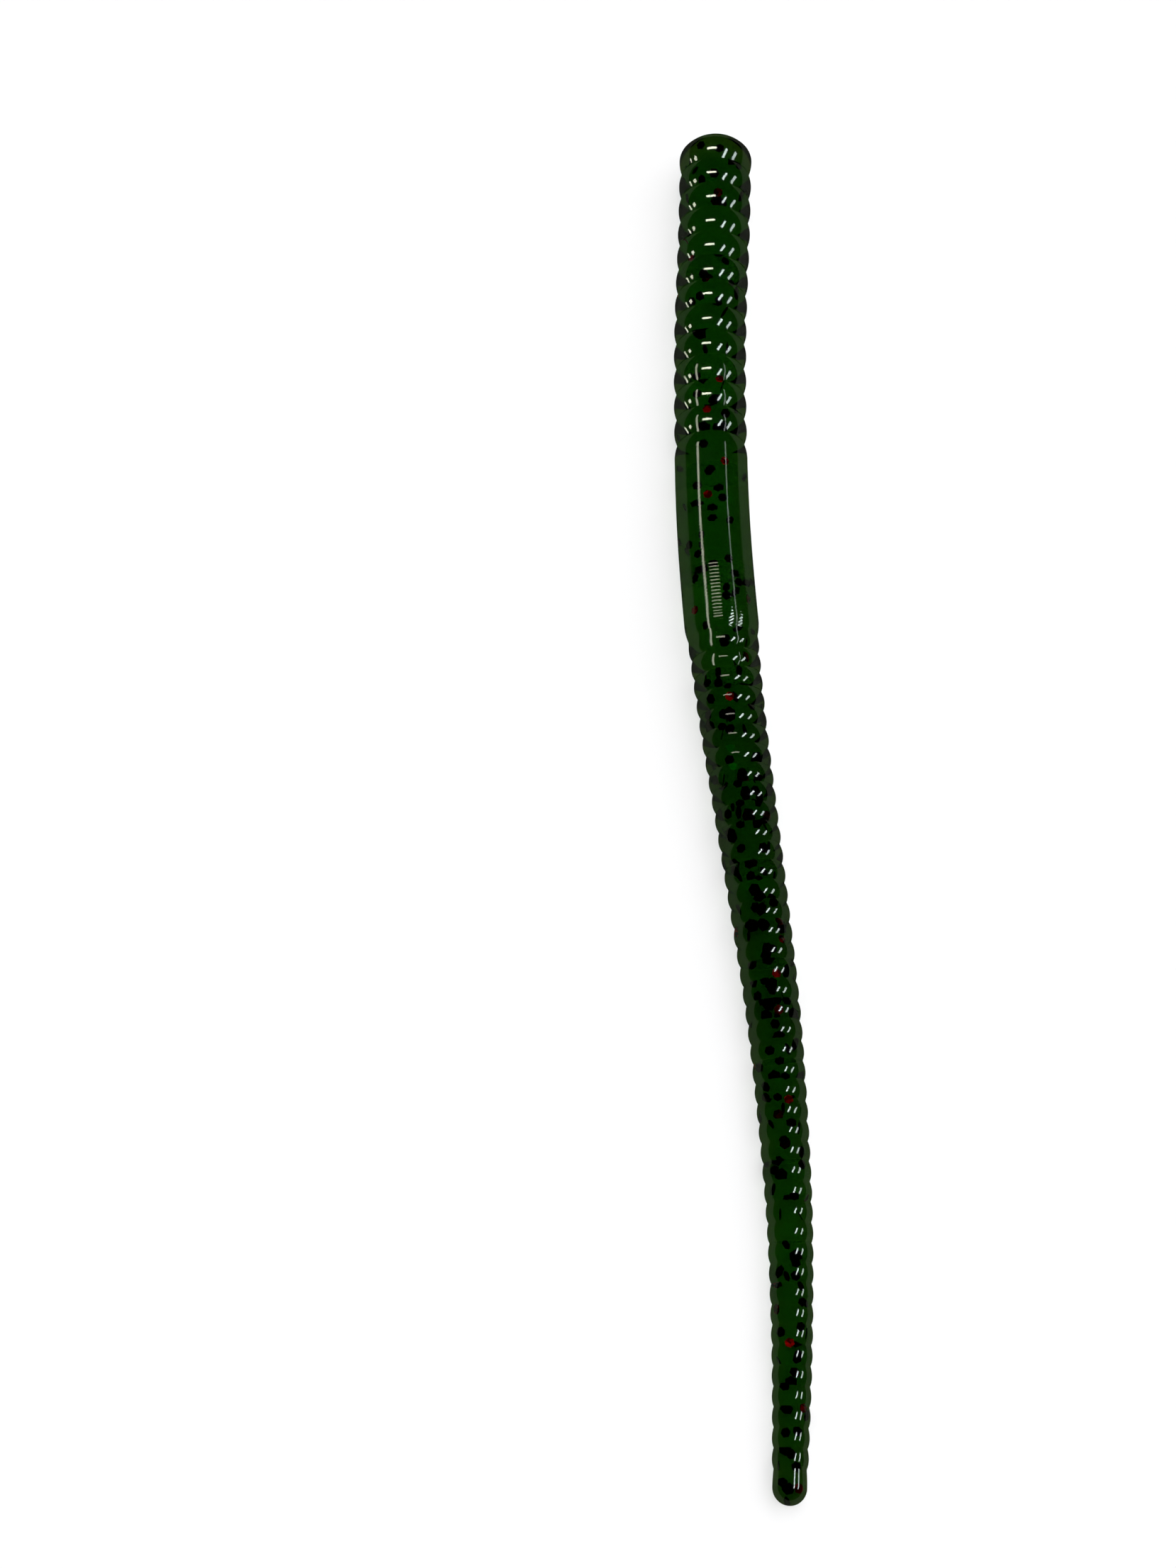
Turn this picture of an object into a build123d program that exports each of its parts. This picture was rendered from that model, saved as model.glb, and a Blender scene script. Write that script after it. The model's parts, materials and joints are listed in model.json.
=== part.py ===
"""Soft plastic fishing worm, 127 mm long, lying in a gentle S on a flat surface.

The worm is one soft moulding with hexagonal flakes cast into it. The moulding is divided
here into short sections, each joined to the next by a barrel knuckle in a round seat, so
that it bends sideways and up and down by turns along its length.

Lengths called "along" are measured from the nose tip, along the worm, towards its tail.
All sizes are millimetres. +Z is up, the worm rests on Z = 0 and its nose points to +Y.
"""

from build123d import *
from math import cos, dist, pi, radians, sin, sqrt
from random import Random
import os

# Lengths along the worm
overall_length = 127.0
nose_length = 3.9
nose_dome_length = 2.4
head_pitch = 2.625
head_rings = 11
collar_length = 19.35
shoulder_length = 1.5
tail_rings = 42
tail_pitch_first = 1.81
tail_pitch_last = 1.62

# Radii over the crests of the rings, and the depth of the grooves between them
nose_radius = 3.45
nose_corner = 1.5
collar_radius = 3.34
tail_radius = 3.17
tip_radius = 1.40
head_groove = 0.30
tail_groove = 0.22
tip_groove = 0.10

# Joints between the sections
bend_limit = 25.0
bend_reserve = 2.5
seat_clearance = 0.10

# Flakes
flake_radius = 0.42
flake_thickness = 0.06
skin_cover = 0.14
seat_cover = 0.12
flake_spacing = 1.0

# One row for each section, nose to tail: its name, how many bulges of the outline it has,
# how far it turns to +X from straight along -Y (degrees), and its black and red flakes.
sections = [
    ("nose", 4, -2.0, 22, 3),
    ("head_front", 4, -2.8, 20, 3),
    ("head_rear", 4, -0.9, 20, 2),
    ("collar_front", 1, 0.7, 17, 2),
    ("collar_rear", 1, 3.2, 17, 3),
    ("tail_1", 5, 5.2, 24, 3),
    ("tail_2", 5, 6.6, 30, 3),
    ("tail_3", 5, 6.6, 30, 2),
    ("tail_4", 5, 6.0, 25, 4),
    ("tail_5", 5, 3.9, 18, 3),
    ("tail_6", 5, 2.5, 13, 2),
    ("tail_7", 4, 0.2, 10, 2),
    ("tail_8", 4, -1.3, 9, 2),
    ("tail_tip", 5, -2.6, 11, 2),
]

# Flakes that lie just under the skin on top of the worm and show plainly: how far along
# each one is, and how far to the side of the centre line as a share of the radius.
top_black_flakes = [
    (2.3, -0.5), (4.2, 0.7), (13.2, 0.15), (36.9, -0.15), (44.8, -0.6), (45.6, 0.3),
    (47.8, 0.55), (67.3, 0.35), (73.8, -0.1), (77.6, 0.35), (88.2, -0.1), (94.0, -0.75),
    (99.8, 0.7), (107.9, 0.2), (113.0, 0.45), (121.4, -0.4), (124.0, 0.35),
]
top_red_flakes = [
    (14.4, -0.7), (27.4, 0.25), (30.6, -0.15), (35.8, 0.35), (39.2, -0.2), (50.0, -0.8),
    (54.2, 0.1), (58.5, -0.1), (61.3, 0.6), (77.4, -0.1), (80.6, 0.65), (83.6, 0.25),
    (85.2, -0.7), (94.4, 0.25), (114.3, -0.2), (119.4, 0.7),
]

knuckle_depth = sin(radians(bend_limit + bend_reserve))


def between(first, last, share):
    """A value the given share of the way from first to last."""
    return first + (last - first) * share


# The bulges of the outline, nose to tail: the nose dome, the rings of the head, the two
# halves of the smooth collar, the rings of the tail and the domed tip.
collar_start = nose_length + head_pitch * head_rings
collar_end = collar_start + collar_length
bulge_ends = [0, nose_length]
for ring in range(head_rings):
    bulge_ends.append(bulge_ends[-1] + head_pitch)
bulge_ends.append(collar_start + collar_length / 2)
bulge_ends.append(collar_end)
for ring in range(tail_rings):
    bulge_ends.append(bulge_ends[-1] + between(tail_pitch_first, tail_pitch_last, ring / (tail_rings - 1)))
bulge_ends.append(overall_length)
bulge_count = len(bulge_ends) - 1
collar_bulge = 1 + head_rings


def crest_radius(along):
    """Radius over the crests, which falls a little along the head and steadily along the tail."""
    if along <= collar_start:
        return between(nose_radius, collar_radius, along / collar_start)
    if along <= collar_end:
        return collar_radius
    return between(tail_radius, tip_radius, (along - collar_end) / (overall_length - collar_end))


def groove_radius(along):
    """Radius at the bottom of the groove there."""
    if along <= collar_start:
        return crest_radius(along) - head_groove
    share = (along - collar_end) / (overall_length - collar_end)
    return crest_radius(along) - between(tail_groove, tip_groove, max(share, 0))


def end_radius(number):
    """Radius of the outline where one bulge ends and the next begins."""
    if number == collar_bulge + 1:
        return collar_radius
    return groove_radius(bulge_ends[number])


def nose_arcs():
    """Radius of the nose's blunt cap, and the point where it meets the tangent corner arc."""
    rise = nose_radius - nose_corner
    cap = (nose_dome_length**2 + rise**2 - nose_corner**2) / (2 * (nose_dome_length - nose_corner))
    towards = Vector(nose_dome_length - cap, rise).normalized()
    meeting = Vector(nose_dome_length, rise) + towards * nose_corner
    return cap, (meeting.X, meeting.Y)


def draw_bulge(number, origin):
    """Draw one bulge of the outline, with its along value counted from origin."""
    start = bulge_ends[number] - origin
    end = bulge_ends[number + 1] - origin
    start_radius = end_radius(number)
    stop_radius = end_radius(number + 1)
    middle = (start + end) / 2
    if number == 0:
        cap, meeting = nose_arcs()
        RadiusArc((0, 0), meeting, cap)
        RadiusArc(meeting, (nose_dome_length, nose_radius), nose_corner)
        rounding = (nose_dome_length + end) / 2
        drop = (nose_radius - stop_radius) / 4
        ThreePointArc((nose_dome_length, nose_radius), (rounding, nose_radius - drop), (end, stop_radius))
    elif number == collar_bulge:
        drop = collar_radius - start_radius
        flat = start + shoulder_length
        ThreePointArc(
            (start, start_radius), (start + shoulder_length / 2, collar_radius - drop / 4), (flat, collar_radius)
        )
        Line((flat, collar_radius), (end, collar_radius))
    elif number == collar_bulge + 1:
        drop = collar_radius - stop_radius
        flat = end - shoulder_length
        Line((start, collar_radius), (flat, collar_radius))
        ThreePointArc(
            (flat, collar_radius), (end - shoulder_length / 2, collar_radius - drop / 4), (end, stop_radius)
        )
    elif number == bulge_count - 1:
        dome = end - tip_radius
        drop = (tip_radius - start_radius) / 4
        ThreePointArc((start, start_radius), ((start + dome) / 2, tip_radius - drop), (dome, tip_radius))
        CenterArc((dome, 0), tip_radius, 0, 90)
    else:
        crest = crest_radius(origin + middle)
        ThreePointArc((start, start_radius), (middle, crest), (end, stop_radius))


# Where each section's outline begins and ends along the worm
first_bulge = [sum(row[1] for row in sections[:n]) for n in range(len(sections) + 1)]
edges_along = [bulge_ends[number] for number in first_bulge]

# Hinges, one a little ahead of each edge between two sections, so that the seat's rim lies
# at the edge when the worm is straight.
hinge_along = [0.0]
for edge in edges_along[1:-1]:
    hinge_along.append(edge - knuckle_depth * crest_radius(edge - 0.01))
hinge_along.append(overall_length)
barrel_radius = [crest_radius(along) for along in hinge_along]

# The centre line is straight from hinge to hinge, at the height that rests each crest on Z = 0.
centre_points = [Vector(0, 0, barrel_radius[0])]
for n, row in enumerate(sections):
    turn = radians(row[2])
    reach = hinge_along[n + 1] - hinge_along[n]
    drop = barrel_radius[n] - barrel_radius[n + 1]
    level = sqrt(reach**2 - drop**2)
    centre_points.append(centre_points[-1] + Vector(level * sin(turn), -level * cos(turn), -drop))

# Move the origin to the centre of the worm's box, on the surface it rests on.
low_x = min(point.X - radius for point, radius in zip(centre_points, barrel_radius))
high_x = max(point.X + radius for point, radius in zip(centre_points, barrel_radius))
box_centre = Vector((low_x + high_x) / 2, centre_points[-1].Y / 2, 0)
centre_points = [point - box_centre for point in centre_points]


def heading(n):
    """Direction of section n along its centre line, towards the tail."""
    return (centre_points[n + 1] - centre_points[n]).normalized()


def profile_plane(n):
    """The upright plane through section n's centre line, X along it and Y up."""
    return Plane(centre_points[n], x_dir=heading(n), z_dir=heading(n).cross(Vector(0, 0, 1)))


def bend_plane(hinge, n):
    """The plane that the joint at a hinge bends in, X along section n. Odd hinges swing, even ones lift."""
    side = heading(hinge - 1).cross(Vector(0, 0, 1))
    axis = Vector(0, 0, 1) if hinge % 2 else side
    along = heading(n) - axis * heading(n).dot(axis)
    return Plane(centre_points[hinge], x_dir=along, z_dir=axis)


def build_section(n):
    """Turn one section of the moulding and cut its seat and its barrel."""
    origin = hinge_along[n]
    last = n == len(sections) - 1
    first_number = first_bulge[n]
    stop_number = first_bulge[n + 1] + (0 if last else 1)
    start = edges_along[n] - origin
    stop = bulge_ends[stop_number] - origin
    seat_width = 4 * nose_radius
    with BuildPart() as section:
        with BuildSketch(profile_plane(n)):
            with BuildLine():
                for number in range(first_number, stop_number):
                    draw_bulge(number, origin)
                if n > 0:
                    Line((start, 0), (start, end_radius(first_number)))
                if not last:
                    Line((stop, 0), (stop, end_radius(stop_number)))
                Line((start, 0), (stop, 0))
            make_face()
        revolve(axis=Axis(centre_points[n], heading(n)))
        if n > 0:
            with BuildSketch(bend_plane(n, n)):
                Circle(barrel_radius[n] + seat_clearance)
            extrude(amount=seat_width, both=True, mode=Mode.SUBTRACT)
        if not last:
            body_length = hinge_along[n + 1] - origin + 1
            with BuildSketch(bend_plane(n + 1, n)):
                with Locations((-body_length / 2, 0)):
                    Rectangle(body_length, seat_width)
                Circle(barrel_radius[n + 1])
            extrude(amount=seat_width, both=True, mode=Mode.INTERSECT)
    return section


def smallest_radius(along):
    """Groove radius near there, which every flake stays inside."""
    if along > overall_length - tip_radius:
        share = (along - overall_length + tip_radius) / tip_radius
        return tip_radius * sqrt(max(1 - share**2, 0))
    if along < nose_dome_length:
        return (nose_radius - head_groove) * sqrt(1 - (1 - along / nose_dome_length) ** 2)
    return groove_radius(along)


def holder_of(along, sideways, upward):
    """The section whose flesh holds a flake there, or None where a seat would cut the flake."""
    n = 0
    while hinge_along[n + 1] < along:
        n += 1
    for hinge in (n, n + 1):
        if hinge in (0, len(sections)):
            continue
        past = along - hinge_along[hinge]
        across = sideways if hinge % 2 else upward
        reach = sqrt(past**2 + across**2)
        room = flake_radius + seat_cover
        if past > -room and hinge == n and reach < barrel_radius[hinge] - room:
            return hinge - 1
        if past > -room and abs(reach - barrel_radius[hinge]) < room + seat_clearance:
            return None
    return n


def flake_plane(n, along, sideways, upward, tilt, lean, spin):
    """Plane of a flake in section n, facing away from the centre line but for its tilt and lean."""
    frame = profile_plane(n)
    place = frame.from_local_coords(Vector(along - hinge_along[n], upward, -sideways))
    outward = (frame.y_dir * upward - frame.z_dir * sideways).normalized()
    around = outward.cross(frame.x_dir)
    facing = outward + frame.x_dir * sin(radians(tilt)) + around * sin(radians(lean))
    edge = facing.cross(frame.x_dir * cos(radians(spin)) + around * sin(radians(spin)))
    return Plane(place, x_dir=edge, z_dir=facing)


def scatter(counts, top_flakes, taken, rng):
    """Planes of every flake of one colour, listed by section."""
    planes = [[] for row in sections]

    def put(along, sideways, upward, tilt, lean):
        n = holder_of(along, sideways, upward)
        spot = (sideways, upward, along)
        if n is None or len(planes[n]) >= counts[n]:
            return
        if any(dist(spot, other) < flake_spacing for other in taken):
            return
        taken.append(spot)
        planes[n].append(flake_plane(n, along, sideways, upward, tilt, lean, rng.uniform(0, 60)))

    for along, side_share in top_flakes:
        depth = smallest_radius(along) - skin_cover - 0.1
        sideways = side_share * depth
        put(along, sideways, sqrt(depth**2 - sideways**2), rng.uniform(-8, 8), rng.uniform(-8, 8))
    for n, count in enumerate(counts):
        attempts = 0
        while len(planes[n]) < count and attempts < 2000:
            attempts += 1
            along = rng.uniform(hinge_along[n], min(hinge_along[n + 1] + barrel_radius[n + 1], overall_length))
            tilt = rng.uniform(-30, 30)
            lean = rng.uniform(-30, 30)
            slope = sin(radians(max(abs(tilt), abs(lean)))) * flake_radius
            room = smallest_radius(along) - skin_cover - slope - 0.08
            if room > 0.3:
                distance = room * sqrt(rng.random())
                around = rng.uniform(0, 2 * pi)
                put(along, distance * sin(around), distance * cos(around), tilt, lean)
    return planes


def build_flakes(planes):
    """Thin hexagonal flakes, one on each plane."""
    with BuildPart() as flakes:
        with BuildSketch(*planes):
            RegularPolygon(flake_radius, 6)
        extrude(amount=flake_thickness / 2, both=True)
    return flakes


def write_step(piece, name):
    """Label a finished piece and write it under its name."""
    piece.part.label = name
    export_step(piece.part, f"parts/{name}.step")


def print_places():
    """Print the hinges and the two places where tackle is fitted, for the behaviour and mounts."""
    for hinge in range(1, len(sections)):
        point = centre_points[hinge]
        axis = bend_plane(hinge, hinge - 1).z_dir
        print(f"hinge {hinge}: {point.X:.4f} {point.Y:.4f} {point.Z:.4f}", end=" ")
        print(f"axis {axis.X:.5f} {axis.Y:.5f} {axis.Z:.5f} radius {barrel_radius[hinge]:.3f}")
    tip = centre_points[0]
    nose = heading(0) * -1
    print(f"nose tip {tip.X:.3f} {tip.Y:.3f} {tip.Z:.3f}")
    print(f"nose points {nose.X:.5f} {nose.Y:.5f} {nose.Z:.5f}")
    collar = (centre_points[3] + centre_points[5]) * 0.5 + heading(3) * knuckle_depth * collar_radius
    along = (centre_points[3] - centre_points[5]).normalized()
    print(f"collar middle {collar.X:.3f} {collar.Y:.3f} {collar.Z:.3f}")
    print(f"collar points {along.X:.5f} {along.Y:.5f} {along.Z:.5f}")


def main():
    os.makedirs("parts", exist_ok=True)
    rng = Random(5)
    taken = []
    black = scatter([row[3] for row in sections], top_black_flakes, taken, rng)
    red = scatter([row[4] for row in sections], top_red_flakes, taken, rng)
    for n, row in enumerate(sections):
        write_step(build_section(n), f"{row[0]}_section")
        write_step(build_flakes(black[n]), f"{row[0]}_black_flakes")
        write_step(build_flakes(red[n]), f"{row[0]}_red_flakes")
    print_places()


main()
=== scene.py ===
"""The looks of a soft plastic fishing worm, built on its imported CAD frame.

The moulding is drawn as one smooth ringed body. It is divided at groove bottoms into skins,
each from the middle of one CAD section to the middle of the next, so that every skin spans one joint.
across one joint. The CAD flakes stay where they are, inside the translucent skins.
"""

import bpy
import json
import math
from collections import namedtuple
from mathutils import Matrix, Quaternion, Vector


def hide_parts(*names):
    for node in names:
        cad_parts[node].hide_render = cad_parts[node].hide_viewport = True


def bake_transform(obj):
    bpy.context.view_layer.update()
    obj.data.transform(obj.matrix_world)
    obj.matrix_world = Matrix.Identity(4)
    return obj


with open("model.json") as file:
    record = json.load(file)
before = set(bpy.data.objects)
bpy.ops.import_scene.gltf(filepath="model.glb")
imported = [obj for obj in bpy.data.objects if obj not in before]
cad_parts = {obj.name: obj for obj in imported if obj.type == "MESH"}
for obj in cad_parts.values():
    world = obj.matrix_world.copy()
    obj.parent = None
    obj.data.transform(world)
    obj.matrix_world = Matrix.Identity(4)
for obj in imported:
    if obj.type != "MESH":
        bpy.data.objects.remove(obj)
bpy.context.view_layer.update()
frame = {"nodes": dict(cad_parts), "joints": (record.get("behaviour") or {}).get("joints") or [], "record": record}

MM = 0.001

# ---------------------------------------------------------------- sizes of the moulding
NOSE_LENGTH = 3.9 * MM
NOSE_DOME = 2.4 * MM
NOSE_CORNER = 1.5 * MM
NOSE_RADIUS = 3.45 * MM
HEAD_RINGS = 11
HEAD_PITCH = 2.625 * MM
HEAD_GROOVE = 0.32 * MM
COLLAR_LENGTH = 19.35 * MM
COLLAR_RADIUS = 3.34 * MM
SHOULDER = 1.5 * MM
TOOL_MARK_PITCH = 0.33 * MM
TOOL_MARK_DEPTH = 0.010 * MM
TOOL_MARKS_FULL_FROM = 0.7  # share of the collar's length
TAIL_RINGS = 42
TAIL_PITCH_FIRST = 1.81 * MM
TAIL_PITCH_LAST = 1.62 * MM
TAIL_RADIUS = 3.17 * MM
TIP_RADIUS = 1.40 * MM
TAIL_GROOVE = 0.24 * MM
TIP_GROOVE = 0.13 * MM
OVERALL_LENGTH = 127.0 * MM
RING_FULLNESS = 2.0
SEAM_GAP = 0.002 * MM

# Painted shade along the flesh: how much darker than the head it is painted, at distances from the nose in
# millimetres; darker at the nose and in the front of the tail, lighter at the tip.
PAINTED_SHADE_TABLE = [(0, 0.3), (6, 0.1), (50, 0.0), (60, 0.35), (88, 0.3), (100, 0.0), (127, -0.2)]

# Points around the moulding, and steps along each of its parts.
AROUND = 80
NOSE_CAP_STEPS = 12
NOSE_CORNER_STEPS = 6
NOSE_SIDE_STEPS = 5
STEPS_PER_RING = 12
STEPS_PER_MARK = 6
TIP_SIDE_STEPS = 6
TIP_DOME_STEPS = 14

# A place on the outline: how far along the worm, its radius, and whether the ring there is sharp.
Station = namedtuple("Station", "along radius sharp")

bodies = list(frame["record"]["behaviour"]["bodies"])
nodes = frame["nodes"]


def between(first, last, share):
    return first + (last - first) * share


# ---------------------------------------------------------------- the centre line
def extreme_point(node, pick):
    """The pole of an end section: its vertex farthest along Y."""
    vertices = nodes[node].data.vertices
    return pick((v.co.copy() for v in vertices), key=lambda co: co.y)


def centre_line():
    """Points of the centre line and how far along the worm each is, from the hinges."""
    points = [extreme_point("nose_section", max)]
    for joint in frame["joints"]:
        points.append(Vector(joint["pos_m"]))
    points.append(extreme_point("tail_tip_section", min))
    along = [0.0]
    for a, b in zip(points, points[1:]):
        along.append(along[-1] + (b - a).length)
    return points, along


points, hinge_along = centre_line()
scale_along = hinge_along[-1] / OVERALL_LENGTH


def tangent(n):
    """Direction of the smooth centre line at its point n."""
    before = points[max(n - 1, 0)]
    after = points[min(n + 1, len(points) - 1)]
    return (after - before).normalized()


def place(along):
    """Position and direction of the smooth centre line at a distance along the worm.

    The line is a cubic Hermite curve from each of its points to the next.
    """
    along = along * scale_along
    n = 0
    while n < len(points) - 2 and hinge_along[n + 1] < along:
        n += 1
    reach = hinge_along[n + 1] - hinge_along[n]
    t = (along - hinge_along[n]) / reach
    a, b = points[n], points[n + 1]
    ta, tb = tangent(n) * reach, tangent(n + 1) * reach
    position = (
        a * (2 * t**3 - 3 * t**2 + 1) + ta * (t**3 - 2 * t**2 + t)
        + b * (3 * t**2 - 2 * t**3) + tb * (t**3 - t**2)
    )
    direction = (
        a * (6 * t**2 - 6 * t) + ta * (3 * t**2 - 4 * t + 1)
        + b * (6 * t - 6 * t**2) + tb * (3 * t**2 - 2 * t)
    )
    return position, direction.normalized()


# ---------------------------------------------------------------- the outline
collar_start = NOSE_LENGTH + HEAD_PITCH * HEAD_RINGS
collar_end = collar_start + COLLAR_LENGTH


def tail_share(along):
    """How far down the tail a distance is: 0 at the collar and 1 at the tip."""
    return (along - collar_end) / (OVERALL_LENGTH - collar_end)


def crest_radius(along):
    """Radius of the moulding over the tops of its rings."""
    if along <= collar_start:
        return between(NOSE_RADIUS, COLLAR_RADIUS, along / collar_start)
    if along <= collar_end:
        return COLLAR_RADIUS
    return between(TAIL_RADIUS, TIP_RADIUS, tail_share(along))


def groove_radius(along):
    """Radius of the moulding at the bottoms of its grooves."""
    if along <= collar_start:
        return crest_radius(along) - HEAD_GROOVE
    return crest_radius(along) - between(TAIL_GROOVE, TIP_GROOVE, max(tail_share(along), 0))


def ring_stations(start, end):
    """One ring: a round crest between two sharp grooves."""
    stations = []
    high = crest_radius((start + end) / 2)
    for step in range(STEPS_PER_RING):
        share = step / STEPS_PER_RING
        low = between(groove_radius(start), groove_radius(end), share)
        bulge = 1 - abs(2 * share - 1) ** RING_FULLNESS
        stations.append(Station(between(start, end, share), between(low, high, bulge), step == 0))
    return stations


def collar_stations():
    """The smooth collar: rounded shoulders, and cutter marks that deepen towards the tail."""
    stations = []
    steps = round(COLLAR_LENGTH / TOOL_MARK_PITCH) * STEPS_PER_MARK
    for step in range(steps):
        share = step / steps
        along = collar_start + COLLAR_LENGTH * share
        edge = min(along - collar_start, collar_end - along)
        near = max(1 - edge / SHOULDER, 0)
        low = groove_radius(collar_start if share < 0.5 else collar_end)
        radius = COLLAR_RADIUS - (COLLAR_RADIUS - low) * near**2
        phase = (step % STEPS_PER_MARK) / STEPS_PER_MARK
        depth = TOOL_MARK_DEPTH * min(share / TOOL_MARKS_FULL_FROM, 1)
        mark = depth * (2 * phase - 1) ** 2
        stations.append(Station(along, radius - mark, step % STEPS_PER_MARK == 0))
    return stations


def nose_stations():
    """The blunt domed nose, from just past its pole to just before the first groove."""
    rise = NOSE_RADIUS - NOSE_CORNER
    cap = (NOSE_DOME**2 + rise**2 - NOSE_CORNER**2) / (2 * (NOSE_DOME - NOSE_CORNER))
    meeting_angle = math.atan2(rise, cap - NOSE_DOME)
    stations = []
    for step in range(1, NOSE_CAP_STEPS + 1):
        angle = meeting_angle * step / NOSE_CAP_STEPS
        stations.append(Station(cap - cap * math.cos(angle), cap * math.sin(angle), False))
    for step in range(1, NOSE_CORNER_STEPS + 1):
        angle = between(meeting_angle, math.pi / 2, step / NOSE_CORNER_STEPS)
        along = NOSE_DOME - NOSE_CORNER * math.cos(angle)
        stations.append(Station(along, rise + NOSE_CORNER * math.sin(angle), False))
    for step in range(1, NOSE_SIDE_STEPS):
        share = step / NOSE_SIDE_STEPS
        radius = between(NOSE_RADIUS, groove_radius(NOSE_LENGTH), share**2)
        stations.append(Station(between(NOSE_DOME, NOSE_LENGTH, share), radius, False))
    return stations


def tip_stations(start):
    """The domed tip, from the last groove to just before its pole."""
    dome = OVERALL_LENGTH - TIP_RADIUS
    stations = []
    for step in range(TIP_SIDE_STEPS):
        share = step / TIP_SIDE_STEPS
        radius = TIP_RADIUS - (TIP_RADIUS - groove_radius(start)) * (1 - share) ** 2
        stations.append(Station(between(start, dome, share), radius, step == 0))
    for step in range(TIP_DOME_STEPS):
        angle = math.pi / 2 * step / TIP_DOME_STEPS
        along = dome + TIP_RADIUS * math.sin(angle)
        stations.append(Station(along, TIP_RADIUS * math.cos(angle), False))
    return stations


def outline():
    """Every station of the outline, nose to tail."""
    stations = nose_stations()
    start = NOSE_LENGTH
    for ring in range(HEAD_RINGS):
        stations += ring_stations(start, start + HEAD_PITCH)
        start += HEAD_PITCH
    stations += collar_stations()
    start = collar_end
    for ring in range(TAIL_RINGS):
        pitch = between(TAIL_PITCH_FIRST, TAIL_PITCH_LAST, ring / (TAIL_RINGS - 1))
        stations += ring_stations(start, start + pitch)
        start += pitch
    return stations + tip_stations(start)


stations = outline()


def painted_shade_at(along):
    """How much darker than the head the flesh is painted at a distance along the worm: a painted shade."""
    for (start, first), (end, last) in zip(PAINTED_SHADE_TABLE, PAINTED_SHADE_TABLE[1:]):
        if along <= end * MM:
            return between(first, last, (along - start * MM) / ((end - start) * MM))
    return PAINTED_SHADE_TABLE[-1][1]


# ---------------------------------------------------------------- the skins
def seam_station(target):
    """Number of the sharp station nearest a distance along the worm."""
    sharp = [n for n, station in enumerate(stations) if station.sharp]
    return min(sharp, key=lambda n: abs(stations[n].along - target))


def ring_of_points(along, radius):
    """Points round the centre line, in a plane square to it."""
    position, direction = place(along)
    side = direction.cross(Vector((0, 0, 1))).normalized()
    up = side.cross(direction)
    ring = []
    for n in range(AROUND):
        angle = 2 * math.pi * n / AROUND
        ring.append(position + side * (radius * math.cos(angle)) + up * (radius * math.sin(angle)))
    return ring


def closed_faces(ring_count):
    """Quads between neighbouring rings, then a fan of triangles to each of the two poles."""
    faces = []
    for n in range(ring_count - 1):
        for k in range(AROUND):
            a, b = n * AROUND + k, n * AROUND + (k + 1) % AROUND
            faces.append((a, a + AROUND, b + AROUND, b))
    end = (ring_count - 1) * AROUND
    start_pole = ring_count * AROUND
    end_pole = start_pole + 1
    for k in range(AROUND):
        after = (k + 1) % AROUND
        faces.append((start_pole, k, after))
        faces.append((end_pole, end + after, end + k))
    return faces


def sharpen_rings(mesh, rings):
    """Smooth shading everywhere but across the sharp stations."""
    for polygon in mesh.polygons:
        polygon.use_smooth = True
    for edge in mesh.edges:
        a, b = edge.vertices
        ring = a // AROUND
        if max(a, b) < len(rings) * AROUND and ring == b // AROUND and rings[ring].sharp:
            edge.use_edge_sharp = True


def build_skin(name, first, last):
    """One closed piece of the moulding, between two of its stations."""
    cut_at_start = first > 0
    cut_at_end = last < len(stations) - 1
    rings = stations[first:last + 1]
    start, end = 0.0, OVERALL_LENGTH
    if cut_at_start:
        start = rings[0].along + SEAM_GAP / 2
        rings[0] = Station(start, rings[0].radius, True)
    if cut_at_end:
        end = rings[-1].along - SEAM_GAP / 2
        rings[-1] = Station(end, rings[-1].radius, True)

    vertices, painted_shades = [], []
    for station in rings:
        vertices += ring_of_points(station.along, station.radius)
        painted_shades += [painted_shade_at(station.along)] * AROUND
    vertices += [place(start)[0], place(end)[0]]
    painted_shades += [painted_shade_at(rings[0].along), painted_shade_at(rings[-1].along)]
    mesh = bpy.data.meshes.new(name)
    mesh.from_pydata([tuple(v) for v in vertices], [], closed_faces(len(rings)))
    mesh.update()
    sharpen_rings(mesh, rings)

    # The painted shade along the worm, one number per point, for the plastisol to read.
    painted_shade = mesh.attributes.new("painted_shade", "FLOAT", "POINT")
    painted_shade.data.foreach_set("value", painted_shades)
    cut = mesh.attributes.new("cut", "FLOAT", "FACE")
    sides = (len(rings) - 1) * AROUND
    cut.data.foreach_set("value", [0.0] * sides + [float(cut_at_start), float(cut_at_end)] * AROUND)

    skin = bpy.data.objects.new(name, mesh)
    bpy.context.scene.collection.objects.link(skin)
    return skin


def build_skins():
    """A skin for each joint, from the middle of one section to the middle of the next."""
    seams = []
    for n in range(1, len(bodies) - 1):
        middle = (hinge_along[n] + hinge_along[n + 1]) / 2 / scale_along
        seams.append(seam_station(middle))
    seams = [0] + seams + [len(stations) - 1]
    skins = []
    for n in range(len(bodies) - 1):
        skin = build_skin(f"skin_{bodies[n]}_to_{bodies[n + 1]}", seams[n], seams[n + 1])
        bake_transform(skin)
        replaced = [f"{bodies[n]}_section"]
        if n == len(bodies) - 2:
            replaced.append(f"{bodies[n + 1]}_section")
        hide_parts(*replaced)
        skins.append(skin)
    return skins


# ---------------------------------------------------------------- parts of materials
def new_material(name):
    material = bpy.data.materials.new(name)
    material.use_nodes = True
    tree = material.node_tree
    tree.nodes.clear()
    output = tree.nodes.new("ShaderNodeOutputMaterial")
    return material, tree, output


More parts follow.
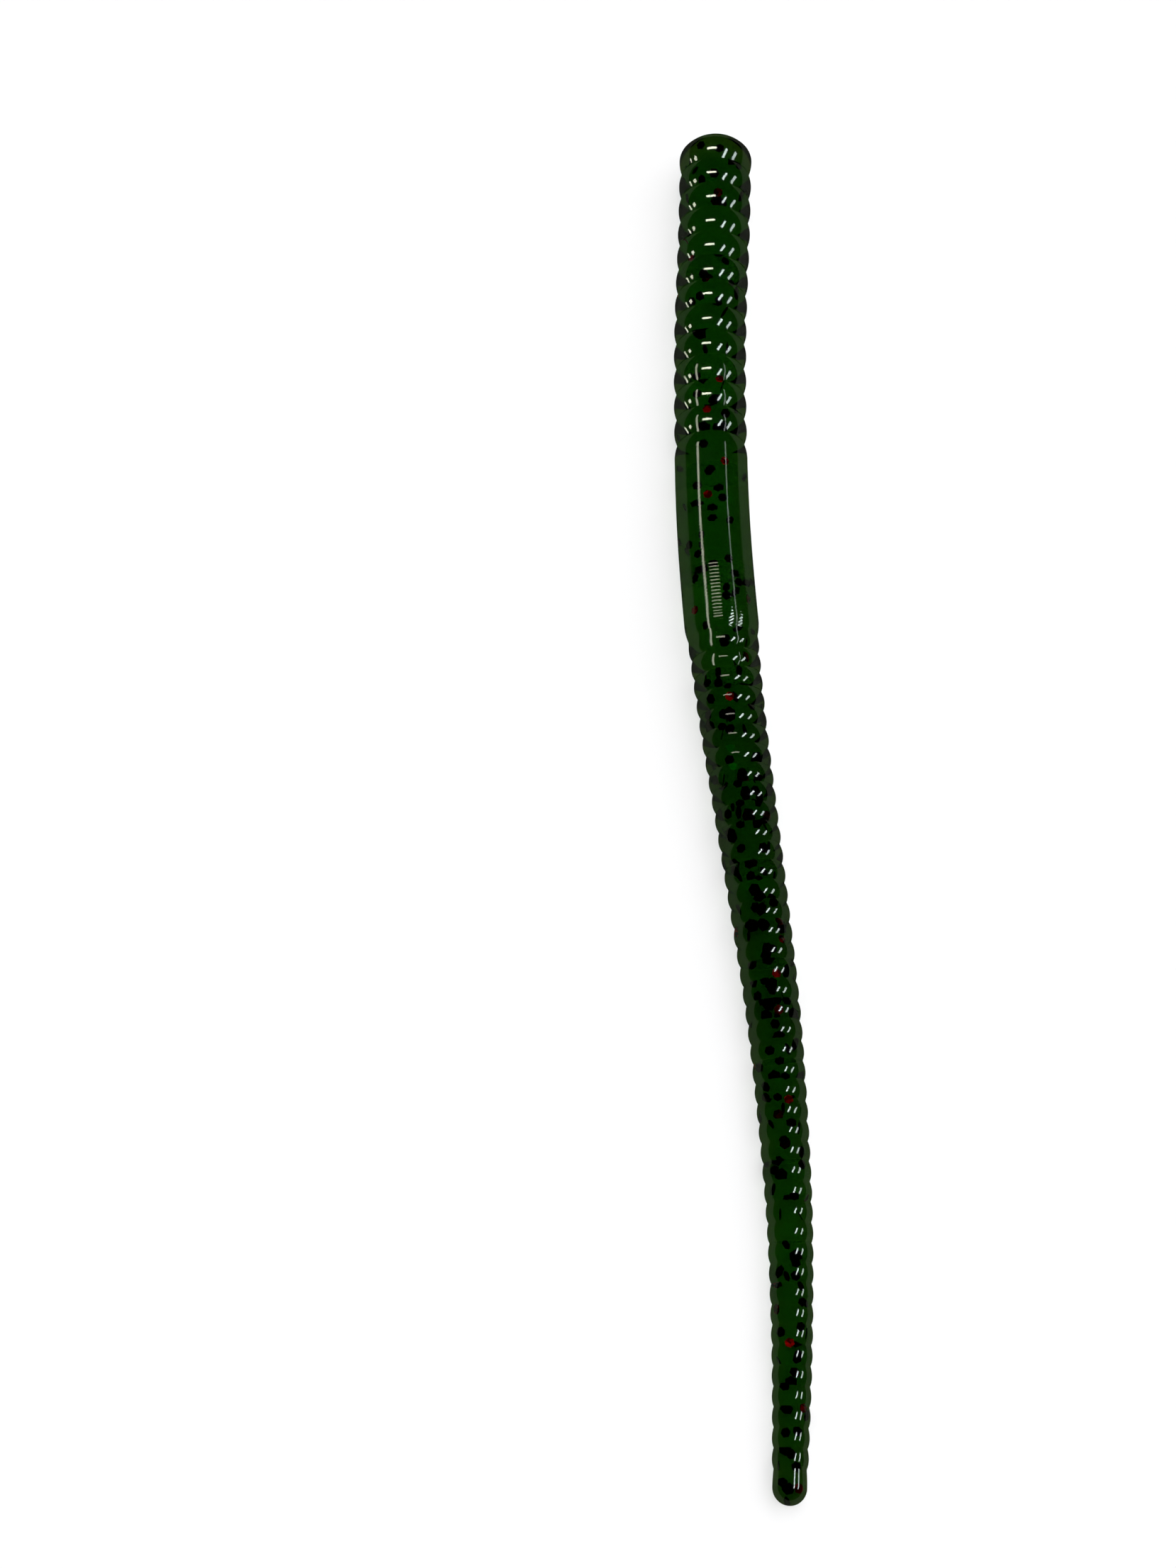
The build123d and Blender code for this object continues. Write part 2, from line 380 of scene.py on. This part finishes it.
def spots(tree, size):
    """A noise pattern fixed to the object, with marks of about the given size."""
    place_on_object = tree.nodes.new("ShaderNodeTexCoord")
    noise = tree.nodes.new("ShaderNodeTexNoise")
    noise.inputs["Scale"].default_value = 1 / size
    noise.inputs["Detail"].default_value = 3.0
    tree.links.new(place_on_object.outputs["Object"], noise.inputs["Vector"])
    return noise.outputs["Fac"]


def facets(tree, size):
    """A pattern of flat cells, each with its own number, fixed to the object."""
    place_on_object = tree.nodes.new("ShaderNodeTexCoord")
    cells = tree.nodes.new("ShaderNodeTexVoronoi")
    cells.inputs["Scale"].default_value = 1 / size
    tree.links.new(place_on_object.outputs["Object"], cells.inputs["Vector"])
    return cells.outputs["Color"]


def attribute(tree, name):
    node = tree.nodes.new("ShaderNodeAttribute")
    node.attribute_name = name
    return node.outputs["Fac"]


def mapped(tree, value, low, high, from_low=0.0, from_high=1.0):
    """A number from low to high as the value goes from from_low to from_high."""
    remap = tree.nodes.new("ShaderNodeMapRange")
    remap.inputs["From Min"].default_value = from_low
    remap.inputs["From Max"].default_value = from_high
    remap.inputs["To Min"].default_value = low
    remap.inputs["To Max"].default_value = high
    tree.links.new(value, remap.inputs["Value"])
    return remap.outputs["Result"]


def mixed(tree, share, first, second):
    """A colour between two colours; each is a fixed colour or another node's output."""
    mix = tree.nodes.new("ShaderNodeMix")
    mix.data_type = "RGBA"
    tree.links.new(share, mix.inputs["Factor"])
    for socket, colour in (("A", first), ("B", second)):
        if isinstance(colour, tuple):
            mix.inputs[socket].default_value = (*colour, 1)
        else:
            tree.links.new(colour, mix.inputs[socket])
    return mix.outputs["Result"]


def bumped(tree, height, depth):
    bump = tree.nodes.new("ShaderNodeBump")
    bump.inputs["Distance"].default_value = depth
    tree.links.new(height, bump.inputs["Height"])
    return bump.outputs["Normal"]


def added(tree, first, second):
    total = tree.nodes.new("ShaderNodeMath")
    tree.links.new(first, total.inputs[0])
    tree.links.new(second, total.inputs[1])
    return total.outputs[0]


# ---------------------------------------------------------------- materials
CLEAR = (1, 1, 1)
THIN_DYE = (0.32, 0.172, 0.12)
# The darker green: random cloudiness and the painted shade along the worm both reach towards it.
DEEP_DYE_AND_SHADE = (0.19, 0.103, 0.07)
DYE_INSIDE = (0.0, 0.97, 0.0, 1)
# Absorption over a radius: dividing by each skin's radius paints thin skins as dark as thick ones, a painted
# shade.
DYE_AND_SHADE_PER_RADIUS = 2.0
CLOUDINESS = 0.1
FLESH_IOR = 1.22
WET_COLOUR = (0.85, 1.0, 0.72, 1)
WET_SHARE = 0.014
BLACK = (0.0005, 0.0005, 0.0006)
WORN_BLACK = (0.004, 0.004, 0.004)
# The red foil's painted shade and painted glint, picked facet by facet.
FOIL_SHADE_RED = (0.14, 0.002, 0.002)
FOIL_GLINT_RED = (0.75, 0.012, 0.02)


def plastisol(name, radius):
    """Clear green plastisol: a wet gloss over flesh that bends and tints the light.

    The cut ends between two skins neither bend, tint nor mirror it. The flesh is painted darker
    at the nose and in the front of the tail, a painted shade, and it is a little cloudy everywhere.
    """
    material, tree, output = new_material(name)
    cut = attribute(tree, "cut")
    clouds = mapped(tree, spots(tree, 2.2 * MM), -CLOUDINESS, CLOUDINESS, 0.3, 0.7)
    # Painted shade from the mesh, with random cloudiness on top, sets how deep the green is.
    depth = added(tree, attribute(tree, "painted_shade"), clouds)
    dyed_and_shaded = mixed(tree, depth, THIN_DYE, DEEP_DYE_AND_SHADE)

    flesh = tree.nodes.new("ShaderNodeBsdfRefraction")
    flesh.inputs["Roughness"].default_value = 0.05
    tree.links.new(mapped(tree, cut, FLESH_IOR, 1.0), flesh.inputs["IOR"])
    tree.links.new(mixed(tree, cut, dyed_and_shaded, CLEAR), flesh.inputs["Color"])

    gloss = tree.nodes.new("ShaderNodeBsdfGlossy")
    gloss.inputs["Color"].default_value = WET_COLOUR
    tree.links.new(mapped(tree, spots(tree, 1.1 * MM), 0.06, 0.085), gloss.inputs["Roughness"])
    tree.links.new(bumped(tree, spots(tree, 0.9 * MM), 0.005 * MM), gloss.inputs["Normal"])

    surface = tree.nodes.new("ShaderNodeMixShader")
    tree.links.new(mapped(tree, cut, WET_SHARE, 0.0), surface.inputs["Fac"])
    tree.links.new(flesh.outputs[0], surface.inputs[1])
    tree.links.new(gloss.outputs[0], surface.inputs[2])
    tree.links.new(surface.outputs[0], output.inputs["Surface"])

    volume = tree.nodes.new("ShaderNodeVolumeAbsorption")
    volume.inputs["Color"].default_value = DYE_INSIDE
    # Denser in thinner skins: a painted shade that keeps them as dark as the head.
    volume.inputs["Density"].default_value = DYE_AND_SHADE_PER_RADIUS / radius
    tree.links.new(volume.outputs[0], output.inputs["Volume"])
    return material


def black_flake():
    """Matt black glitter, barely greyer in places."""
    material, tree, output = new_material("black_flake")
    shader = tree.nodes.new("ShaderNodeBsdfPrincipled")
    shader.inputs["Specular IOR Level"].default_value = 0.03
    grain = spots(tree, 0.3 * MM)
    tree.links.new(mixed(tree, grain, BLACK, WORN_BLACK), shader.inputs["Base Color"])
    tree.links.new(mapped(tree, grain, 0.5, 0.8), shader.inputs["Roughness"])
    tree.links.new(bumped(tree, grain, 0.02 * MM), shader.inputs["Normal"])
    tree.links.new(shader.outputs[0], output.inputs["Surface"])
    return material


def red_foil():
    """Crumpled metallic red foil, each facet painted from dark crimson to bright red as painted shade and glint.
    """
    material, tree, output = new_material("red_foil")
    shader = tree.nodes.new("ShaderNodeBsdfPrincipled")
    shader.inputs["Metallic"].default_value = 1.0
    cells = facets(tree, 0.35 * MM)
    # Each facet's share between painted shade and painted glint.
    shade = mapped(tree, cells, 0.0, 1.0, 0.35, 0.65)
    tree.links.new(mixed(tree, shade, FOIL_SHADE_RED, FOIL_GLINT_RED), shader.inputs["Base Color"])
    tree.links.new(mapped(tree, spots(tree, 0.5 * MM), 0.2, 0.45), shader.inputs["Roughness"])
    tree.links.new(bumped(tree, cells, 0.03 * MM), shader.inputs["Normal"])
    tree.links.new(shader.outputs[0], output.inputs["Surface"])
    return material


def colour_pieces(skins):
    """Plastisol on the skins, its absorption made denser where the worm is thinner as a painted shade, and foil on
    the flakes.
    """
    for n, skin in enumerate(skins):
        radius = crest_radius(hinge_along[n + 1] / scale_along)
        skin.data.materials.append(plastisol(f"plastisol_{n + 1}", radius))
    black, red = black_flake(), red_foil()
    for name, node in nodes.items():
        if name.endswith("_flakes"):
            node.data.materials.clear()
            node.data.materials.append(black if "black" in name else red)


skins = build_skins()
colour_pieces(skins)

# ---------------------------------------------------------------- stage, light and camera
FLOOR_REACH = 3.0
FLOOR_DARKER = (0.895, 0.895, 0.895)
FLOOR_PALER = (0.905, 0.905, 0.905)
BACKGROUND = 0.95
LAMP_DISTANCE = 2.0
WARM = (1.0, 0.84, 0.98)
COOL = (0.74, 0.70, 1.0)
CAMERA = Vector((-13.3, -78.5, 212.0)) * MM
CAMERA_TILT = 20.0
LENS = 58.25
SENSOR_WIDTH = 36


def stage_floor():
    """A plain pale floor at the worm's underside."""
    mesh = bpy.data.meshes.new("floor")
    corners = [(-1, -1, 0), (1, -1, 0), (1, 1, 0), (-1, 1, 0)]
    mesh.from_pydata([Vector(corner) * FLOOR_REACH for corner in corners], [], [(0, 1, 2, 3)])
    floor = bpy.data.objects.new("floor", mesh)
    bpy.context.scene.collection.objects.link(floor)
    material, tree, output = new_material("pale_floor")
    shader = tree.nodes.new("ShaderNodeBsdfPrincipled")
    shader.inputs["Specular IOR Level"].default_value = 0.1
    mottle = spots(tree, 4 * MM)
    tree.links.new(mixed(tree, mottle, FLOOR_DARKER, FLOOR_PALER), shader.inputs["Base Color"])
    tree.links.new(mapped(tree, mottle, 0.6, 0.75), shader.inputs["Roughness"])
    tree.links.new(shader.outputs[0], output.inputs["Surface"])
    mesh.materials.append(material)
    return floor


def towards(lateral, axial):
    """Direction of a place in the sky: lateral leans towards +X and axial towards the nose."""
    return Vector((math.tan(math.radians(lateral)), math.tan(math.radians(axial)), 1)).normalized()


def sky_light(name, lateral, axial, spread, brightness):
    """A broad patch of pale sky, whose mirror image the worm doesn't show.

    brightness is what it gives a white floor.
    """
    light = bpy.data.lights.new(name, "SUN")
    light.angle = math.radians(spread)
    light.energy = math.pi * brightness
    lamp = bpy.data.objects.new(name, light)
    bpy.context.scene.collection.objects.link(lamp)
    lamp.rotation_mode = "QUATERNION"
    lamp.rotation_quaternion = towards(lateral, axial).to_track_quat("Z", "Y")
    lamp.visible_glossy = False
    return lamp


def window(name, lateral, axial, width, depth, brightness, colour, turn=0.0):
    """A rectangular lamp in a place of the sky, which shows only in mirror images.

    width and depth are its angular size across and along the worm; turn slants it.
    """
    away = towards(lateral, axial)
    across = Vector((0, 1, 0)).cross(away).normalized()
    along = away.cross(across)
    light = bpy.data.lights.new(name, "AREA")
    light.shape = "RECTANGLE"
    light.size = 2 * LAMP_DISTANCE * math.tan(math.radians(width / 2))
    light.size_y = 2 * LAMP_DISTANCE * math.tan(math.radians(depth / 2))
    light.energy = math.pi * brightness * light.size * light.size_y
    light.color = colour
    lamp = bpy.data.objects.new(name, light)
    bpy.context.scene.collection.objects.link(lamp)
    lamp.location = away * LAMP_DISTANCE
    lamp.rotation_mode = "QUATERNION"
    facing = Matrix((across, along, away)).transposed().to_quaternion()
    lamp.rotation_quaternion = facing @ Quaternion((0, 0, 1), math.radians(turn))
    lamp.visible_diffuse = False
    lamp.visible_transmission = False
    return lamp


def light_only(lamps, lit_skins):
    """Keep some lamps to some of the skins."""
    lit = bpy.data.collections.new(f"lit_by_{lamps[0].name}")
    for skin in lit_skins:
        lit.objects.link(skin)
    for lamp in lamps:
        lamp.light_linking.receiver_collection = lit


def light_room(floor, skins):
    """Light for the whole room, then the windows and lamps that the worm mirrors.

    The worm doesn't shade the floor from sky_fill, so that the floor seen through the flesh
    is as bright from every side; sky_key gives the worm its faint shadow.
    """
    sky_fill = sky_light("sky_fill", 0, 10, 90, 0.92)
    sky_light("sky_key", 25, 10, 70, 0.26)
    only_floor = bpy.data.collections.new("only_floor")
    only_floor.objects.link(floor)
    sky_fill.light_linking.blocker_collection = only_floor

    window("window_left_pane", 27, 2, 6, 27, 76, COOL, turn=-25)
    window("window_right_pane", 57, 2, 7, 27, 50, COOL, turn=-25)
    on_head = [
        window("warm_tube", -13, 15.5, 27, 7.5, 78, WARM),
        window("side_window_outer_pane", -84, 9, 4, 20, 55, WARM, turn=20),
        window("side_window_inner_pane", -68, 6, 8, 11, 50, WARM, turn=20),
    ]
    on_collar_end = [window("ladder_tube", -13, 15.5, 27, 7.5, 20, WARM)]
    on_collar = [
        window("ceiling_edge_left", -45, 5, 6, 64, 26, WARM),
        window("ceiling_edge_right", 44, 5, 3, 64, 18, COOL),
    ]
    light_only(on_head, skins[:3])
    light_only(on_collar, skins[2:5])
    light_only(on_collar_end, skins[4:6])


def studio_background():
    """A white background that only the camera sees."""
    world = bpy.data.worlds.new("studio")
    bpy.context.scene.world = world
    world.use_nodes = True
    background = world.node_tree.nodes["Background"]
    background.inputs["Color"].default_value = (1, 1, 1, 1)
    background.inputs["Strength"].default_value = BACKGROUND
    for ray in ("diffuse", "glossy", "transmission", "scatter"):
        setattr(world.cycles_visibility, ray, False)


def place_camera():
    """The photo's viewpoint, above the worm and behind its tail."""
    camera = bpy.data.cameras.new("camera")
    camera.lens = LENS
    camera.sensor_width = SENSOR_WIDTH
    camera.clip_start = 10 * MM
    viewpoint = bpy.data.objects.new("camera", camera)
    bpy.context.scene.collection.objects.link(viewpoint)
    viewpoint.location = CAMERA
    viewpoint.rotation_euler = (math.radians(CAMERA_TILT), 0, 0)
    bpy.context.scene.camera = viewpoint


light_room(stage_floor(), skins)
studio_background()
place_camera()
bpy.context.scene.view_settings.view_transform = "Standard"
